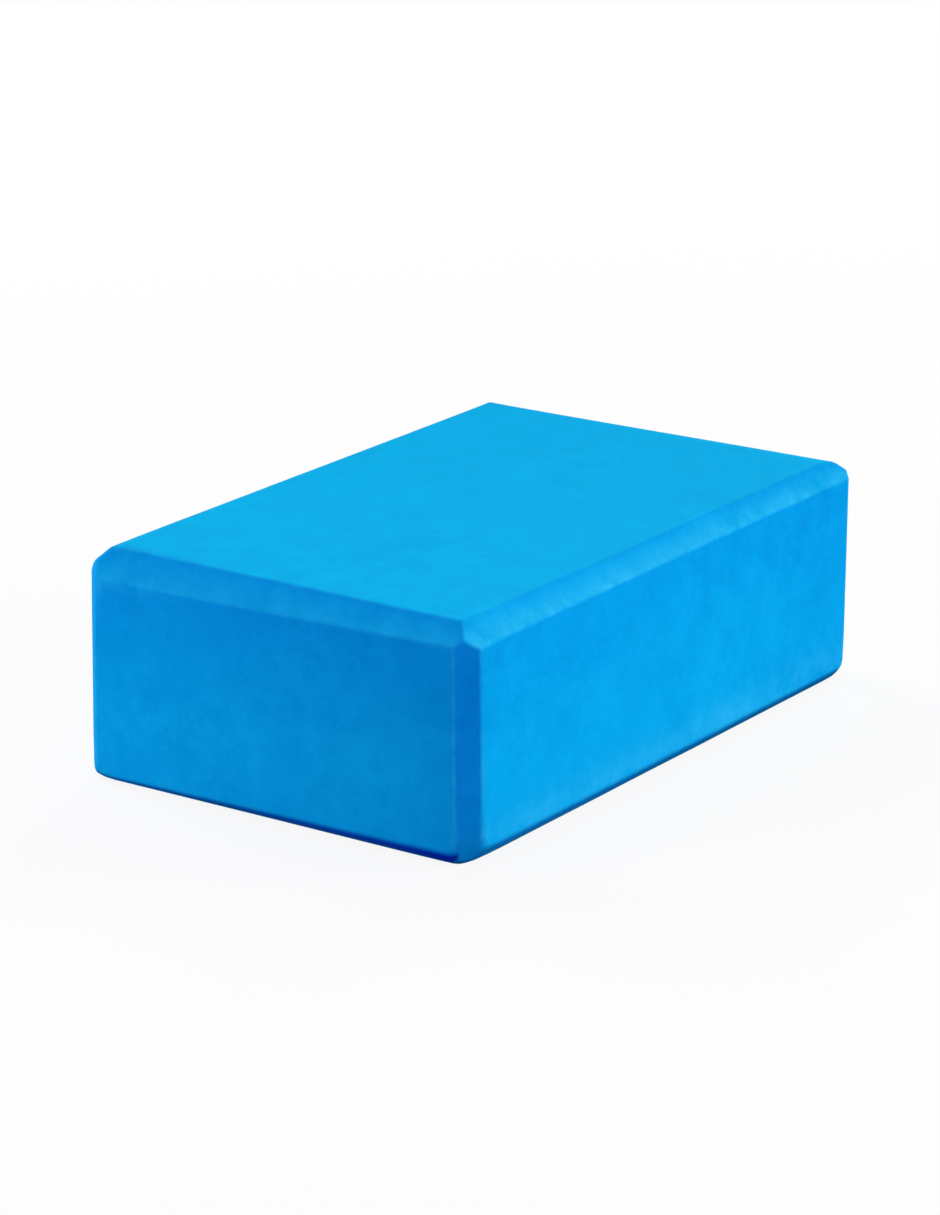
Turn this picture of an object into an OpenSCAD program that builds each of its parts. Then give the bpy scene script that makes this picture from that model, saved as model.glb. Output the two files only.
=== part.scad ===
// Foam exercise block: one solid piece of closed-cell foam. Each of its twelve
// edges has a 45 degree bevel, and the bevels meet in mitres at its eight corners.
// It lies on its largest face. X runs along the length, Y across the width and Z
// up, and the origin is at the middle of the base.

/* [Block] */
// Length of the block, along X
block_length = 228.6; // [150:0.1:320]
// Width of the block, along Y
block_width = 152.4; // [100:0.1:220]
// Height of the block as it lies, along Z
block_height = 76.2; // [45:0.1:130]

/* [Bevels] */
// Leg of the bevel round the top face
top_bevel = 6.5; // [3:0.1:12]
// Leg of the bevel on each upright edge
upright_bevel = 6; // [3:0.1:12]
// Leg of the bevel round the base
base_bevel = 4; // [3:0.1:12]
// Radius that softens each line where a bevel meets a face
line_radius = 1.5; // [0.5:0.1:2.5]

/* [Hidden] */

foam_colour = "#0aa3e6";
// Strips that make up the arc of one softened line
arc_strips = 4;
// Angle between a face and a bevel beside it
turn = 45;
// How far a bar runs past each side of the block, so that only its outline cuts
overrun = 10;
// How much shorter a bevel's leg is on the outline that the arc centres lie on
leg_inset = (2 - sqrt(2)) * line_radius;

// Centres of the arcs at the eight corners of a bevelled rectangle, in order from
// the right-hand end of its lower side. Its lower corners have bevels of leg "low"
// and its upper corners have bevels of leg "high".
function arc_centres(width, height, low, high) =
    let (
        x = width / 2 - line_radius,
        y = height / 2 - line_radius,
        low_leg = low - leg_inset,
        high_leg = high - leg_inset
    )
    [
        [x - low_leg, -y], [x, low_leg - y],
        [x, y - high_leg], [x - high_leg, y],
        [high_leg - x, y], [-x, y - high_leg],
        [-x, low_leg - y], [low_leg - x, -y]
    ];

// A bar along Z with the section of a bevelled rectangle, which runs past both
// ends of a block as long as "length"
module bevelled_bar(width, height, low, high, length) {
    centres = arc_centres(width, height, low, high);
    linear_extrude(length + 2 * overrun, center = true)
        polygon([
            for (corner = [0 : len(centres) - 1], strip = [0 : arc_strips])
                let (angle = turn * (corner + strip / arc_strips) - 90)
                centres[corner] + line_radius * [cos(angle), sin(angle)]
        ]);
}

// The block is what three crossed bars have in common
module foam_block() {
    color(foam_colour)
        translate([0, 0, block_height / 2])
            intersection() {
                // Section seen from above, which bevels the upright edges
                bevelled_bar(block_length, block_width, upright_bevel, upright_bevel, block_height);
                // Section seen from the front, which bevels the top and base of both ends
                rotate([90, 0, 0])
                    bevelled_bar(block_length, block_height, base_bevel, top_bevel, block_width);
                // Section seen from one end, which bevels the top and base of both sides
                rotate([90, 0, 90])
                    bevelled_bar(block_width, block_height, base_bevel, top_bevel, block_length);
            }
}

foam_block();
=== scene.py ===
import math

import bpy
import numpy as np
from mathutils import Matrix, Vector, noise


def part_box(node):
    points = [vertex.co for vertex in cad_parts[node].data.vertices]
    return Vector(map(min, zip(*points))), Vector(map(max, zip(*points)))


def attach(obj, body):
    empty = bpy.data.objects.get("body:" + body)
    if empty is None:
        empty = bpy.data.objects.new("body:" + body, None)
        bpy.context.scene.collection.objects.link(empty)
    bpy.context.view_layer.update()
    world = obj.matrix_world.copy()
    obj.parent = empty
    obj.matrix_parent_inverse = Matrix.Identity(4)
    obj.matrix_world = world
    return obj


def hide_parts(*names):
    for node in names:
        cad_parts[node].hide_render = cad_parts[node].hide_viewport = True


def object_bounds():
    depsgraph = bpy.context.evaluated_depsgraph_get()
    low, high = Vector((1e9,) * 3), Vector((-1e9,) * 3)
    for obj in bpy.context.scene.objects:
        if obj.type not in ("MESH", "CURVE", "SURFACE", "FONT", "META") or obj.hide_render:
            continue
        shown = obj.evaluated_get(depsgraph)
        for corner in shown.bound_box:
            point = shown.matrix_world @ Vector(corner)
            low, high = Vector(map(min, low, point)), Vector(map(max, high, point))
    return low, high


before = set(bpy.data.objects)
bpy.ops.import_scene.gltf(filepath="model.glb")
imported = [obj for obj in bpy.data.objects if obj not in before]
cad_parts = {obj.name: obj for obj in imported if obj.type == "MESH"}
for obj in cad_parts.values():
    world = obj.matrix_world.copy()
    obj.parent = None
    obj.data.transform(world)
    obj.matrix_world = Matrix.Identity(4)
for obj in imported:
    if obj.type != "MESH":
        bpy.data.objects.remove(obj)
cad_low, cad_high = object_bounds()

MM = 0.001
# Far smaller than any length here. It keeps a division by a length from being by zero.
TINY = 1e-9

# ---------------------------------------------------------------- camera
# The picture is 940 x 1215 pixels, and the sensor's width spans its long side.
PICTURE_LONG_SIDE = 1215
SENSOR_WIDTH = 36.0
FOCAL_LENGTH_PX = 3720.7
CAMERA_AZIMUTH = -54.71
CAMERA_ELEVATION = 17.67
CAMERA_ROLL = -0.55
CAMERA_DISTANCE = 1224.9 * MM
# Where the block's centre lies from the view's axis, to the right and upwards
CENTRE_RIGHT = 3.55 * MM
CENTRE_UP = -1.26 * MM
CLIP_START = 0.01
CLIP_END = 50.0


def direction(azimuth, elevation):
    """Unit vector towards this azimuth, from the front (-Y) round to +X, and elevation.

    Both are in degrees.
    """
    azimuth = math.radians(azimuth)
    elevation = math.radians(elevation)
    return Vector((
        math.sin(azimuth) * math.cos(elevation),
        -math.cos(azimuth) * math.cos(elevation),
        math.sin(elevation),
    ))


def make_camera(centre):
    """The photo's camera, which sees the centre of the block a little off its axis."""
    azimuth = math.radians(CAMERA_AZIMUTH)
    roll = math.radians(CAMERA_ROLL)
    back = direction(CAMERA_AZIMUTH, CAMERA_ELEVATION)
    level = Vector((math.cos(azimuth), math.sin(azimuth), 0))
    upright_shade = back.cross(level)
    right = level * math.cos(roll) + upright_shade * math.sin(roll)
    up = back.cross(right)
    data = bpy.data.cameras.new("camera")
    data.sensor_width = SENSOR_WIDTH
    data.lens = FOCAL_LENGTH_PX * SENSOR_WIDTH / PICTURE_LONG_SIDE
    data.clip_start = CLIP_START
    data.clip_end = CLIP_END
    camera = bpy.data.objects.new("camera", data)
    turn = Matrix((right, up, back)).transposed().to_4x4()
    place = centre + back * CAMERA_DISTANCE - right * CENTRE_RIGHT - up * CENTRE_UP
    camera.matrix_world = Matrix.Translation(place) @ turn
    bpy.context.collection.objects.link(camera)
    bpy.context.scene.camera = camera


# ---------------------------------------------------------------- shape
# Sides of the block, as an axis and which end of it
LEFT, RIGHT = (0, 0), (0, 1)
FRONT, BACK = (1, 0), (1, 1)
BASE, TOP = (2, 0), (2, 1)
SIDES = [LEFT, RIGHT, FRONT, BACK, BASE, TOP]
# Leg of the bevel between two sides, in mm, at the low end, middle and high end of
# their edge along X, Y or Z. The solid has 6.5 round the top, 6 upright and 4 round
# the base; the photo's edges vary, and the unseen ones are guessed.
BEVEL_LEGS = {
    (LEFT, TOP): (6.1, 7.6, 8.9),
    (FRONT, TOP): (7.0, 6.3, 6.4),
    (RIGHT, TOP): (7.0, 8.2, 7.3),
    (BACK, TOP): (9.2, 7.4, 5.5),
    (LEFT, FRONT): (6.3, 6.1, 6.1),
    (LEFT, BACK): (5.7, 7.5, 9.1),
    (RIGHT, FRONT): (6.5, 5.8, 5.2),
    (RIGHT, BACK): (6.0, 6.0, 6.0),
    (LEFT, BASE): (2.8, 2.5, 2.0),
    (FRONT, BASE): (5.0, 3.2, 1.5),
    (RIGHT, BASE): (3.0, 3.6, 4.0),
    (BACK, BASE): (3.0, 3.6, 4.0),
}
# What the last stretch of an edge adds to that leg, in mm, at its low end and high end
LEG_FLARES = {
    (LEFT, TOP): (0.0, -0.7),
    (FRONT, TOP): (0.8, 0.0),
    (RIGHT, TOP): (-0.9, -1.0),
    (BACK, TOP): (-0.8, -0.5),
    (LEFT, BACK): (0.3, -0.1),
    (RIGHT, FRONT): (0.0, -0.4),
    (LEFT, BASE): (-0.4, -0.3),
    (FRONT, BASE): (0.4, 0.7),
}
FLARE_REACH = 10.0 * MM
# A cut across a corner: azimuth and elevation that it faces, in degrees, and how far in
# from the corner of the box, in mm
CORNER_CUTS = {
    (LEFT, FRONT, BASE): (-38, -21, 6.8),
    (LEFT, BACK, BASE): (-110, -38, 3.9),
    (RIGHT, FRONT, BASE): (39, -41, 5.6),
    (RIGHT, FRONT, TOP): (88, 76, 2.8),
}
# The block's nearly flat faces: its sides, bevels and corner cuts
FACES = SIDES + list(BEVEL_LEGS) + list(CORNER_CUTS)
# How far the middle of a bevel round the top is hollowed below a flat cut
TOP_HOLLOW = 0.3 * MM
# Radius of the lines between faces, and what the base adds to it
SOFTNESS = 0.6 * MM
BASE_SOFTNESS = 0.5 * MM
# What each corner adds to it, in mm, and about how far from the corner
CORNER_SOFTNESS = {
    (LEFT, FRONT, BASE): 1.2,
    (LEFT, FRONT, TOP): 0.2,
    (LEFT, BACK, BASE): 0.0,
    (LEFT, BACK, TOP): 2.0,
    (RIGHT, FRONT, BASE): 0.7,
    (RIGHT, FRONT, TOP): 0.5,
    (RIGHT, BACK, BASE): 1.6,
    (RIGHT, BACK, TOP): 0.2,
}
CORNER_REACH = 12.0 * MM
# Steps that bring every point onto the softened block
SOFTEN_STEPS = 16
# The faces sink by up to this much, in patches about this wide
UNDULATION = 0.12 * MM
UNDULATION_SIZE = 35.0 * MM
# Depth of the core that the faces sink towards
INSET = 12.0 * MM
# Spacing of the mesh near the edges and on the flats, and the width of the fine band
FINE_STEP = 0.45 * MM
COARSE_STEP = 3.6 * MM
FINE_BAND = 9.0 * MM


def stations(low, high):
    """Coordinates from low to high: close together near both ends and wide apart between."""
    fine = np.arange(0, FINE_BAND, FINE_STEP)
    gaps = int(round((high - low - 2 * FINE_BAND) / COARSE_STEP))
    middle = np.linspace(low + FINE_BAND, high - FINE_BAND, gaps + 1)
    return np.concatenate([low + fine, middle, (high - fine)[::-1]])


def box_skin(axes):
    """The outer points and four-sided faces of a lattice with these coordinates on X, Y and Z."""
    last = [len(coordinates) - 1 for coordinates in axes]
    corners = []
    for across in range(3):
        u, v = (across + 1) % 3, (across + 2) % 3
        i, j = np.meshgrid(np.arange(last[u]), np.arange(last[v]), indexing="ij")
        i, j = i.ravel(), j.ravel()
        for end in (0, last[across]):
            ring = [(0, 0), (1, 0), (1, 1), (0, 1)]
            if end == 0:
                ring.reverse()
            quad = np.zeros((len(i), 4, 3), int)
            quad[:, :, across] = end
            for k, (du, dv) in enumerate(ring):
                quad[:, k, u] = i + du
                quad[:, k, v] = j + dv
            corners.append(quad)
    corners = np.concatenate(corners)
    keys, index = np.unique(corners.reshape(-1, 3), axis=0, return_inverse=True)
    points = np.stack([axes[axis][keys[:, axis]] for axis in range(3)], axis=1)
    return points, index.reshape(-1, 4)


def depths(points, low, high):
    """How deep these points lie inside each side of the box."""
    return {(axis, end): (high - points if end else points - low)[:, axis] for axis, end in SIDES}


def edge_legs(points, low, high):
    """The leg of each bevel at these points: a curve through its three legs, with its flares."""
    along = np.clip((points - low) / (high - low), 0, 1)
    near_low = np.exp(-((points - low) / FLARE_REACH) ** 2)
    near_high = np.exp(-((high - points) / FLARE_REACH) ** 2)
    legs = {}
    for (a, b), (first, middle, last) in BEVEL_LEGS.items():
        axis = 3 - a[0] - b[0]
        t = along[:, axis]
        leg = first * (1 - t) * (1 - 2 * t) + 4 * middle * t * (1 - t) + last * t * (2 * t - 1)
        flare_low, flare_high = LEG_FLARES.get((a, b), (0, 0))
        leg += flare_low * near_low[:, axis] + flare_high * near_high[:, axis]
        legs[a, b] = leg * MM
    return legs


def line_softness(points, low, high):
    """How round the lines between faces are at each of these points."""
    nearest = np.minimum(points - low, high - points)
    closeness = np.exp(-(nearest ** 2).sum(axis=1) / CORNER_REACH ** 2)
    base = np.clip(1 - (points[:, 2] - low[2]) / CORNER_REACH, 0, 1)
    softness = np.zeros((2, 2, 2))
    for corner, added in CORNER_SOFTNESS.items():
        softness[tuple(end for _, end in corner)] = added * MM
    octant = tuple((points - low > high - points).astype(int).T)
    return SOFTNESS + BASE_SOFTNESS * base + softness[octant] * closeness


def side_normal(axis, end):
    """The direction that a side faces."""
    normal = np.zeros(3)
    normal[axis] = 1 if end else -1
    return normal


def face_reaches(points, low, high):
    """How far these points stand out from each of FACES, and the normals of those faces."""
    depth = depths(points, low, high)
    normals = [side_normal(*side) for side in SIDES]
    reaches = [-depth[side] for side in SIDES]
    for (a, b), leg in edge_legs(points, low, high).items():
        hollow = TOP_HOLLOW if b == TOP else 0
        across = np.clip((depth[b] - depth[a]) / leg, -1, 1)
        normals.append((side_normal(*a) + side_normal(*b)) / math.sqrt(2))
        reaches.append((leg - depth[a] - depth[b]) / math.sqrt(2) + hollow * (1 - across ** 2))
    for corner, (azimuth, elevation, cut) in CORNER_CUTS.items():
        place = np.where([end for _, end in corner], high, low)
        normals.append(np.array(direction(azimuth, elevation)))
        reaches.append((points - place) @ normals[-1] + cut * MM)
    return np.stack(reaches, axis=1), np.array(normals)


def soften(points, low, high):
    """Moves points near the box's skin onto the bevelled block with softened lines.

    Also gives each point's share of each of FACES: 1 on the face itself, and less where
    the line between two faces rounds off.
    """
    for _ in range(SOFTEN_STEPS):
        soft = line_softness(points, low, high)
        reaches, normals = face_reaches(points, low, high)
        near = np.maximum(reaches + soft[:, None], 0)
        size = np.linalg.norm(near, axis=1)
        slope = near @ normals / np.maximum(size, TINY)[:, None]
        step = (size - soft) / np.maximum((slope ** 2).sum(axis=1), TINY)
        points = points - slope * step[:, None]
    return points, np.clip(near / soft[:, None], 0, 1)


def undulate(points, low, high):
    """Sinks the faces by up to UNDULATION, in soft patches, and never beyond the box."""
    inward = np.clip(points, low + INSET, high - INSET) - points
    inward /= np.maximum(np.linalg.norm(inward, axis=1), TINY)[:, None]
    swell = np.array([noise.noise(Vector(p) / UNDULATION_SIZE) for p in points])
    sunk = UNDULATION * (1 + np.clip(swell, -1, 1)) / 2
    return points + inward * sunk[:, None]


# ---------------------------------------------------------------- wear, painted highlights, painted light and shade
# How pale a face turns along its lines, partly from wear and partly as a painted highlight
# where the rounded lines catch the light: the sides and upright bevels, the other bevels,
# the top and base, and the corner cuts
UPRIGHT_WEAR_AND_HIGHLIGHT = 1.0
BEVEL_WEAR_AND_HIGHLIGHT = 0.5
LEVEL_WEAR_AND_HIGHLIGHT = 0.2
CUT_WEAR_AND_HIGHLIGHT = {
    (LEFT, FRONT, BASE): 0.1,
    (LEFT, BACK, BASE): 0.5,
    (RIGHT, FRONT, BASE): 0.5,
    (RIGHT, FRONT, TOP): 0.2,
}
# Painted highlight: how pale the lower part of the front's top bevel is made
BEVEL_HIGHLIGHT = 1.25
# Painted light: how pale a band low along the front is made, as light bounced up from the
# floor, and how high and wide it is
PAINTED_BOUNCE = 0.5
PAINTED_BOUNCE_HEIGHT = 7.0 * MM
PAINTED_BOUNCE_WIDTH = 6.0 * MM
# How much of the deeper, bluer painted shade each upright bevel shows, and the cut below one
UPRIGHT_SHADES = {
    (LEFT, FRONT): 1.0,
    (LEFT, FRONT, BASE): 1.0,
    (LEFT, BACK): 0.25,
    (RIGHT, FRONT): 0.25,
    (RIGHT, BACK): 0.25,
}
# Painted light and shade: the upright faces are paler low down and deeper near the top, by
# how much at these heights in mm, and what share of that each side and the upright bevels show
PAINTED_LIGHTING_HEIGHTS = (10, 25, 45, 67)
PAINTED_LIGHTING_LEVELS = (0.5, 0.8, 0.0, -1.0)
PAINTED_LIGHTING_SHARES = {LEFT: 1.0, RIGHT: 0.6, FRONT: 0.55, BACK: 0.6}
PAINTED_LIGHTING_SHARE_UPRIGHT = 0.3
# Painted light and shade added to that on some faces, at these places in mm from one end of
# the block; the cut below the near upright bevel gets painted light
END_PAINTED_LIGHTING = {
    TOP: (LEFT, (0, 120, 190, 225), (0.5, 0.1, -0.2, -0.3)),
    LEFT: (FRONT, (9, 25, 70, 120, 150), (-0.65, -0.1, 0.1, 0.35, 0.15)),
    FRONT: (LEFT, (150, 205, 228), (0.0, -0.6, -0.8)),
    (FRONT, TOP): (LEFT, (0, 120, 190, 225), (0.4, 0.1, -0.2, -0.7)),
    (LEFT, FRONT, BASE): (LEFT, (0, 12), (1.0, 1.0)),
}
# Painted shade at the foot of each side, where it meets the floor: how dark it is, how high
# it reaches in mm and how much duller than blue it is (1 at most), all at the low and the
# high end of the side's length, and how far in mm it goes round the corners
FOOT_SHADING = {
    LEFT: ((1.0, 0.6), (6.0, 2.4), (0.1, 0.7), 2.5),
    FRONT: ((0.77, 0.76), (6.9, 4.0), (0.0, 1.3), 0.8),
    RIGHT: ((0.6, 0.6), (3.6, 3.6), (1.0, 1.0), 0.8),
    BACK: ((0.6, 0.6), (3.6, 3.6), (1.0, 1.0), 0.8),
}
# The part of its height in which the painted foot shade fades, and how dark and high that
# shade is elsewhere
FOOT_FADE = 0.45
FOOT_REST = 0.7
FOOT_REST_HEIGHT = 2.4 * MM


def wear_and_highlight_of(face):
    """How pale this face turns along its lines: partly wear, partly painted highlight."""
    if face in CUT_WEAR_AND_HIGHLIGHT:
        return CUT_WEAR_AND_HIGHLIGHT[face]
    if face in (BASE, TOP):
        return LEVEL_WEAR_AND_HIGHLIGHT
    return BEVEL_WEAR_AND_HIGHLIGHT if BASE in face or TOP in face else UPRIGHT_WEAR_AND_HIGHLIGHT


def line_wear_and_highlight(shares):
    """Each point's paleness on the line of its two nearest faces: wear and painted highlight."""
    first, second = np.argsort(-shares, axis=1)[:, :2].T
    line_paleness = np.array([wear_and_highlight_of(face) for face in FACES])
    return shares[np.arange(len(shares)), second] * line_paleness[first] * line_paleness[second]


def painted_lighting(share, depth, upright_shade):
    """How much painted light, above 0, or painted shade, below 0, each point has."""
    painted_lighting_level = PAINTED_LIGHTING_SHARE_UPRIGHT * upright_shade ** 2
    for side, amount in PAINTED_LIGHTING_SHARES.items():
        painted_lighting_level += amount * share[side] ** 2
    painted_lighting_level *= np.interp(depth[BASE] / MM, PAINTED_LIGHTING_HEIGHTS, PAINTED_LIGHTING_LEVELS)
    for face, (end, places, amounts) in END_PAINTED_LIGHTING.items():
        painted_lighting_level += share[face] ** 2 * np.interp(depth[end] / MM, places, amounts)
    return painted_lighting_level


def foot_shading(share, depth, along):
    """How dark the painted shade at the block's foot makes each point, and how dull it is."""
    height = depth[BASE]
    foot_shade = FOOT_REST * np.clip((1 - height / FOOT_REST_HEIGHT) / FOOT_FADE, 0, 1)
    dull = np.zeros(len(height))
    for side, (shades, heights, dullnesses, overlap) in FOOT_SHADING.items():
        t = along[:, 1 - side[0]]
        reached = np.interp(t, (0, 1), heights) * MM
        fade = np.clip((1 - height / reached) / FOOT_FADE, 0, 1)
        own = share[side] ** 2 + share[BASE] ** 2 + share[side, BASE] ** 2
        own = np.maximum(own, np.clip(overlap - depth[side] / MM, 0, 1))
        own *= np.interp(t, (0, 1), shades) * fade ** 2 * (3 - 2 * fade)
        own_dull = np.clip(np.interp(t, (0, 1), dullnesses), 0, 1)
        dull = np.where(own > foot_shade, own_dull, dull)
        foot_shade = np.maximum(foot_shade, own)
    return foot_shade, dull


def surface_looks(points, shares, low, high):
    """What the material reads at each point, by name.

    It reads how pale each point is along its lines, from wear and from painted highlight and
    bounce light; its painted light or shade; how dull its painted foot shade is; and its
    shares of the painted shade on an upright bevel, of the painted shade on the upper and
    the painted light on the lower part of a bevel round the top, and of the painted foot shade.
    """
    share = dict(zip(FACES, shares.T))
    depth = depths(points, low, high)
    # Painted shade on the upright bevels, full on the near one
    upright_shade = sum((blue * share[face]) ** 2 for face, blue in UPRIGHT_SHADES.items())
    upright_shade = np.minimum(np.sqrt(upright_shade), 1)
    # Painted shade on the upper part of the bevels round the top, painted light on the lower part
    top_bevels = [pair for pair in BEVEL_LEGS if TOP in pair]
    top = np.minimum(np.sqrt(sum(share[pair] ** 2 for pair in top_bevels)), 1)
    legs = edge_legs(points, low, high)
    drop = np.clip(depth[TOP] / np.mean([legs[pair] for pair in top_bevels], axis=0), 0, 1)
    # Painted light: a pale band low on the front, as light bounced up from the floor
    painted_bounce = PAINTED_BOUNCE * share[FRONT] * np.exp(-((depth[BASE] - PAINTED_BOUNCE_HEIGHT) / PAINTED_BOUNCE_WIDTH) ** 2)
    # Painted highlight along the lower part of the front's top bevel
    bevel_highlight = BEVEL_HIGHLIGHT * share[FRONT, TOP] * drop ** 2
    # Painted shade at the foot
    foot_shade, dull = foot_shading(share, depth, (points - low) / (high - low))
    return {
        "worn_and_lit": np.max([line_wear_and_highlight(shares), painted_bounce, bevel_highlight], axis=0),
        "painted_lighting_level": painted_lighting(share, depth, upright_shade),
        "dull": dull,
        "cuts": np.stack([upright_shade, top * (1 - drop), top * drop, foot_shade], axis=1),
    }


def make_block():
    """The block's skin, which carries what its material reads as attributes."""
    low, high = (np.array(corner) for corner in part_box("foam_block"))
    points, faces = box_skin([stations(low[axis], high[axis]) for axis in range(3)])
    points, shares = soften(points, low, high)
    looks = surface_looks(points, shares, low, high)
    points = undulate(points, low, high)
    mesh = bpy.data.meshes.new("foam_block_skin")
    mesh.from_pydata(points.tolist(), [], faces.tolist())
    mesh.polygons.foreach_set("use_smooth", [True] * len(mesh.polygons))
    for name, values in looks.items():
        kind, key = ("FLOAT", "value") if values.ndim == 1 else ("FLOAT_COLOR", "color")
        mesh.attributes.new(name, kind, "POINT").data.foreach_set(key, values.ravel())
    mesh.update()
    block = bpy.data.objects.new("foam_block_skin", mesh)
    bpy.context.collection.objects.link(block)
    return block


# ---------------------------------------------------------------- materials
class Tree:
    """Adds nodes to a material or a world and links them."""

    def __init__(self, owner):
        owner.use_nodes = True
        self.owner = owner
        self.nodes = owner.node_tree.nodes
        self.links = owner.node_tree.links

    def add(self, kind, settings=None, **inputs):
        """A node of this kind. Each input is a value or another node's output."""
        node = self.nodes.new("ShaderNode" + kind)
        for name, value in (settings or {}).items():
            setattr(node, name, value)
        for name, value in inputs.items():
            self.put(node, name.replace("_", " "), value)
        return node

    def put(self, node, name, value):
        socket = node.inputs[int(name) if name.isdigit() else name]
        if isinstance(value, bpy.types.NodeSocket):
            self.links.new(value, socket)
        else:
            socket.default_value = value

    def attribute(self, name):
        """The outputs of one of the mesh's attributes."""
        return self.add("Attribute", {"attribute_name": name}).outputs

    def noise(self, place, scale, detail=2.0, roughness=0.5):
        """Smooth noise, from 0 to 1, with this many patches to a metre."""
        node = self.add("TexNoise", Vector=place, Scale=scale, Detail=detail, Roughness=roughness)
        return node.outputs["Fac"]

    def math(self, operation, a, b=0.0, clamp=False):
        node = self.add("Math", {"operation": operation, "use_clamp": clamp})
        self.put(node, "0", a)
        self.put(node, "1", b)
        return node.outputs[0]

    def remap(self, value, before, after):
        """A value in one range spread over another, and kept within it."""
        limits = zip(("From Min", "From Max", "To Min", "To Max"), before + after)
        node = self.add("MapRange", Value=value)
        for name, number in limits:
            node.inputs[name].default_value = number
        return node.outputs["Result"]

    def blend(self, share, a, b, blend_type="MIX"):
        """A colour between two others, or their product."""
        node = self.add("Mix", {"data_type": "RGBA", "blend_type": blend_type})
        self.put(node, "0", share)
        self.put(node, "6", a)
        self.put(node, "7", b)
        return node.outputs[2]

    def mix_shaders(self, share, a, b):
        return self.add("MixShader", **{"0": share, "1": a, "2": b}).outputs[0]


# Colours of the foam: its faces; the painted shade of its upright bevels and of the upper
# part of the bevels round the top, and the painted light of their lower part; the painted
# shade at its foot, blue and dull; and its pale lines of wear and painted highlight
FOAM_FACE = (0.001, 0.38, 0.835, 1)
FOAM_UPRIGHT_SHADED = (0.001, 0.308, 0.875, 1)
FOAM_TOP_UPPER_SHADED = (0.001, 0.33, 0.785, 1)
FOAM_TOP_LOWER_LIT = (0.004, 0.395, 0.79, 1)
FOAM_FOOT_SHADE = (0.0, 0.003, 0.48, 1)
FOAM_FOOT_SHADE_DULL = (0.0, 0.003, 0.2, 1)
FOAM_WORN_AND_LIT = (0.02, 0.47, 0.885, 1)
# What those are multiplied by in the deepest and palest mottling, and at painted shade -1
# and painted light 1
SHADE_DEEP = (0.2, 0.92, 0.955, 1)
SHADE_PALE = (1.8, 1.08, 1.045, 1)
PAINTED_SHADE_FACTOR = (0.5, 0.86, 0.95, 1)
PAINTED_LIGHT_FACTOR = (1.5, 1.14, 1.05, 1)
# Patches to a metre of the noise that breaks up the pale lines, of the mottling, of the
# changes in its strength, and of the foam's grain and cells
PATCHINESS_SCALE = 160.0
MOTTLE_SCALE = 70.0
STRENGTH_SCALE = 16.0
GRAIN_SCALE = 450.0
CELL_SCALE = 1700.0
NOISE_DETAIL = 4.0
MOTTLE_RAGGEDNESS = 0.85
# Where most noise lies, and what it becomes for the pale lines' patchiness and the
# mottling's strength
NOISE_MIDDLE = 0.5
NOISE_RANGE = (0.35, 0.65)
PATCHINESS = (0.5, 1.0)
MOTTLE_STRENGTHS = (1.8, 4.4)
# The mottling's wider range, and the roughness that it becomes
MOTTLE_RANGE = (0.3, 0.7)
ROUGHNESS = (0.64, 0.76)
# How much the cells stand out beside the grain, and both together
CELL_SHARE = 0.6
BUMP_STRENGTH = 0.25
BUMP_HEIGHT = 0.2 * MM
FOAM_SPECULAR = 0.01
FOAM_SHEEN = 0.3
FOAM_SHEEN_ROUGHNESS = 0.4
FOAM_SHEEN_TINT = (0.0, 0.8, 0.6, 1)


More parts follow.
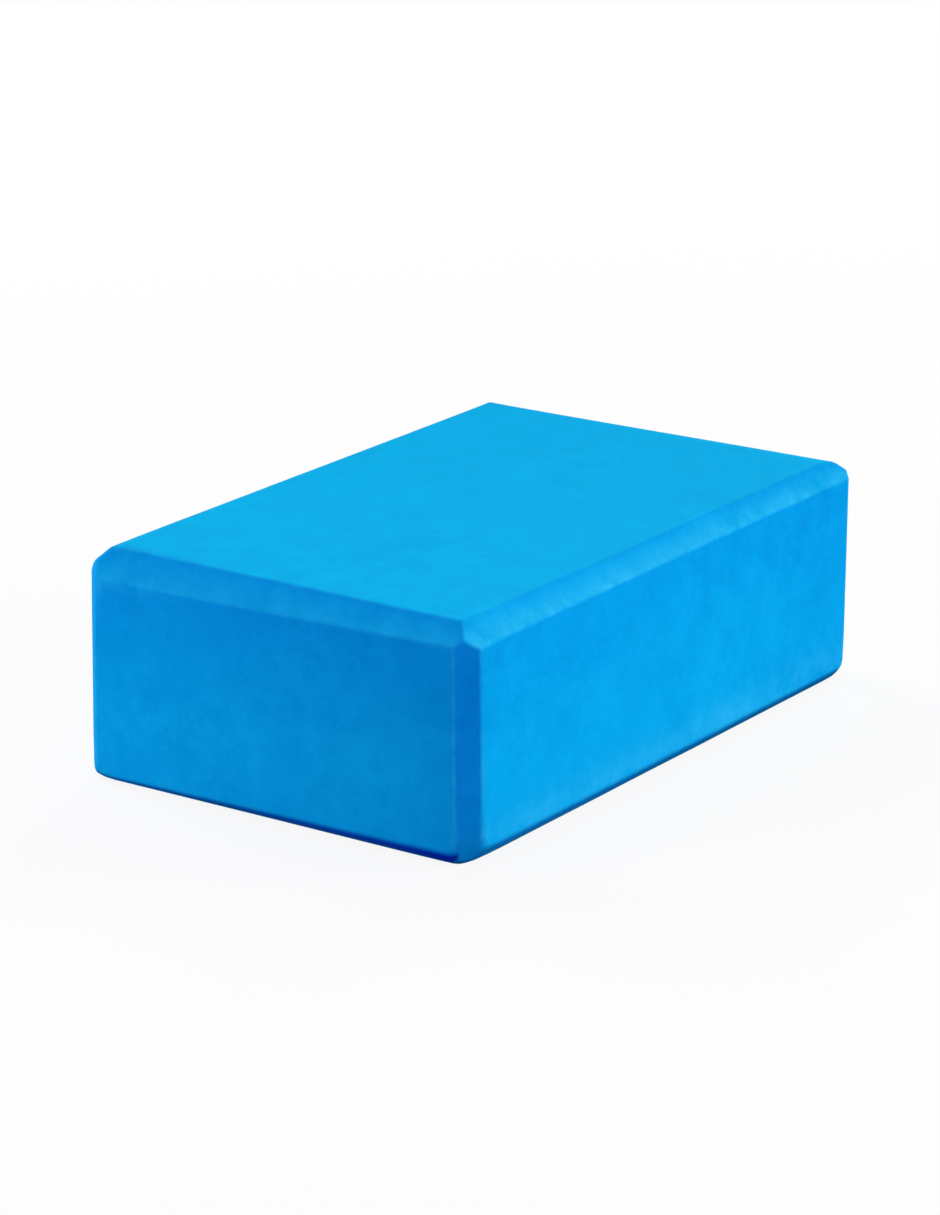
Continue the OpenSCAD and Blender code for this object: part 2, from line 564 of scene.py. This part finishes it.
def foam_material():
    """Blue foam: mottled and worn, with painted highlights and painted light and shade."""
    tree = Tree(bpy.data.materials.new("foam"))
    shader = tree.nodes["Principled BSDF"]
    place = tree.add("TexCoord").outputs["Object"]
    # Painted shade on the upright bevels and the upper part of the top bevels, painted light on
    # their lower part
    cuts = tree.attribute("cuts")
    bevels = tree.add("SeparateColor", Color=cuts["Color"]).outputs
    colour = FOAM_FACE
    for share, bevel_colour in zip(bevels, (FOAM_UPRIGHT_SHADED, FOAM_TOP_UPPER_SHADED, FOAM_TOP_LOWER_LIT)):
        colour = tree.blend(share, colour, bevel_colour)
    patchiness = tree.noise(place, PATCHINESS_SCALE, NOISE_DETAIL)
    patchiness = tree.remap(patchiness, NOISE_RANGE, PATCHINESS)
    # Pale lines: partly wear, partly painted highlight and painted bounce light
    worn_and_lit = tree.math("MULTIPLY", tree.attribute("worn_and_lit")["Fac"], patchiness)
    colour = tree.blend(worn_and_lit, colour, FOAM_WORN_AND_LIT)
    # Painted shade at the foot, where the block meets the floor
    foot_shade = tree.blend(tree.attribute("dull")["Fac"], FOAM_FOOT_SHADE, FOAM_FOOT_SHADE_DULL)
    colour = tree.blend(cuts["Alpha"], colour, foot_shade)
    patches = tree.noise(place, MOTTLE_SCALE, NOISE_DETAIL, MOTTLE_RAGGEDNESS)
    strength = tree.remap(tree.noise(place, STRENGTH_SCALE), NOISE_RANGE, MOTTLE_STRENGTHS)
    mottle = tree.math("MULTIPLY", tree.math("SUBTRACT", patches, NOISE_MIDDLE), strength)
    mottle = tree.math("ADD", mottle, NOISE_MIDDLE, clamp=True)
    colour = tree.blend(1.0, colour, tree.blend(mottle, SHADE_DEEP, SHADE_PALE), "MULTIPLY")
    # Painted light and shade over the faces
    painted_lighting_level = tree.remap(tree.attribute("painted_lighting_level")["Fac"], (-1.0, 1.0), (0.0, 1.0))
    colour = tree.blend(1.0, colour, tree.blend(painted_lighting_level, PAINTED_SHADE_FACTOR, PAINTED_LIGHT_FACTOR), "MULTIPLY")
    cells = tree.add("TexVoronoi", Vector=place, Scale=CELL_SCALE).outputs["Distance"]
    cells = tree.math("MULTIPLY", cells, CELL_SHARE)
    height = tree.math("ADD", cells, tree.noise(place, GRAIN_SCALE))
    bump = tree.add("Bump", Strength=BUMP_STRENGTH, Distance=BUMP_HEIGHT, Height=height)
    tree.put(shader, "Base Color", colour)
    tree.put(shader, "Roughness", tree.remap(patches, MOTTLE_RANGE, ROUGHNESS))
    tree.put(shader, "Normal", bump.outputs["Normal"])
    tree.put(shader, "Specular IOR Level", FOAM_SPECULAR)
    tree.put(shader, "Sheen Weight", FOAM_SHEEN)
    tree.put(shader, "Sheen Roughness", FOAM_SHEEN_ROUGHNESS)
    tree.put(shader, "Sheen Tint", FOAM_SHEEN_TINT)
    return tree.owner


# ---------------------------------------------------------------- stage
WHITE = (1, 1, 1, 1)
AMBIENT_STRENGTH = 0.02
FLOOR_HALF = 6.0
# Share of the floor's look to the camera that is plain white; the rest takes light and shadow
FLOOR_WHITE = 0.9
FLOOR_SEEN = (0.9, 0.9, 0.9, 1)
# What the floor is to every other ray, so that little light comes back up from it
FLOOR_COLOUR = (0.12, 0.12, 0.12, 1)
# Soft round lamps, aimed at the block's centre: azimuth and elevation in degrees, distance
# and width in metres, power in watts, and colour
LAMPS = {
    "right": (-1, 8, 2.2, 0.8, 21.1, (0.82, 0.82, 1.00)),
    "right_rim": (40, 13, 2.2, 1.1, 30.1, (1.00, 1.00, 0.88)),
    "end": (102, 38, 2.4, 1.2, 21.6, (1.00, 1.00, 0.88)),
    "back": (165, 34, 2.4, 1.2, 36.2, (0.91, 0.91, 1.00)),
    "left": (-118, 8, 0.9, 0.3, 5.0, (0.82, 0.82, 1.00)),
    "front": (-28, 46, 0.6, 0.3, 0.7, (0.82, 0.82, 1.00)),
}


def seen_plainly(tree):
    """1 for the rays that show the background: those of the camera, gloss and glass."""
    path = tree.add("LightPath").outputs
    seen = tree.math("ADD", path["Is Camera Ray"], path["Is Glossy Ray"])
    return tree.math("ADD", seen, path["Is Transmission Ray"], clamp=True)


def make_floor():
    """A plain pale floor, which keeps the block's shadow."""
    mesh = bpy.data.meshes.new("floor")
    corners = [(-1, -1), (1, -1), (1, 1), (-1, 1)]
    corners = [(x * FLOOR_HALF, y * FLOOR_HALF, 0) for x, y in corners]
    mesh.from_pydata(corners, [], [(0, 1, 2, 3)])
    floor = bpy.data.objects.new("floor", mesh)
    bpy.context.collection.objects.link(floor)
    tree = Tree(bpy.data.materials.new("floor"))
    tree.nodes.remove(tree.nodes["Principled BSDF"])
    white = tree.add("Emission", Color=WHITE, Strength=1.0).outputs[0]
    lit = tree.add("BsdfDiffuse", Color=FLOOR_SEEN).outputs[0]
    plain = tree.add("BsdfDiffuse", Color=FLOOR_COLOUR).outputs[0]
    backdrop = tree.mix_shaders(FLOOR_WHITE, lit, white)
    surface = tree.mix_shaders(seen_plainly(tree), plain, backdrop)
    tree.put(tree.nodes["Material Output"], "Surface", surface)
    mesh.materials.append(tree.owner)


def make_world():
    """Faint even light, in front of a white backdrop."""
    world = bpy.data.worlds.new("world")
    bpy.context.scene.world = world
    tree = Tree(world)
    ambient = tree.add("Background", Color=WHITE, Strength=AMBIENT_STRENGTH).outputs[0]
    white = tree.add("Background", Color=WHITE, Strength=1.0).outputs[0]
    surface = tree.mix_shaders(seen_plainly(tree), ambient, white)
    tree.put(tree.nodes["World Output"], "Surface", surface)


def make_lamps(centre):
    for name, (azimuth, elevation, distance, width, power, colour) in LAMPS.items():
        data = bpy.data.lights.new(name, "AREA")
        data.shape = "DISK"
        data.size = width
        data.energy = power
        data.color = colour
        lamp = bpy.data.objects.new(name, data)
        towards = direction(azimuth, elevation)
        lamp.location = centre + towards * distance
        lamp.rotation_mode = "QUATERNION"
        lamp.rotation_quaternion = (-towards).to_track_quat("-Z", "Y")
        bpy.context.collection.objects.link(lamp)


centre = (Vector(cad_low) + Vector(cad_high)) / 2
make_camera(centre)
block = make_block()
block.data.materials.append(foam_material())
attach(block, "root")
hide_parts("foam_block")
make_floor()
make_world()
make_lamps(centre)
bpy.context.scene.view_settings.view_transform = "Standard"
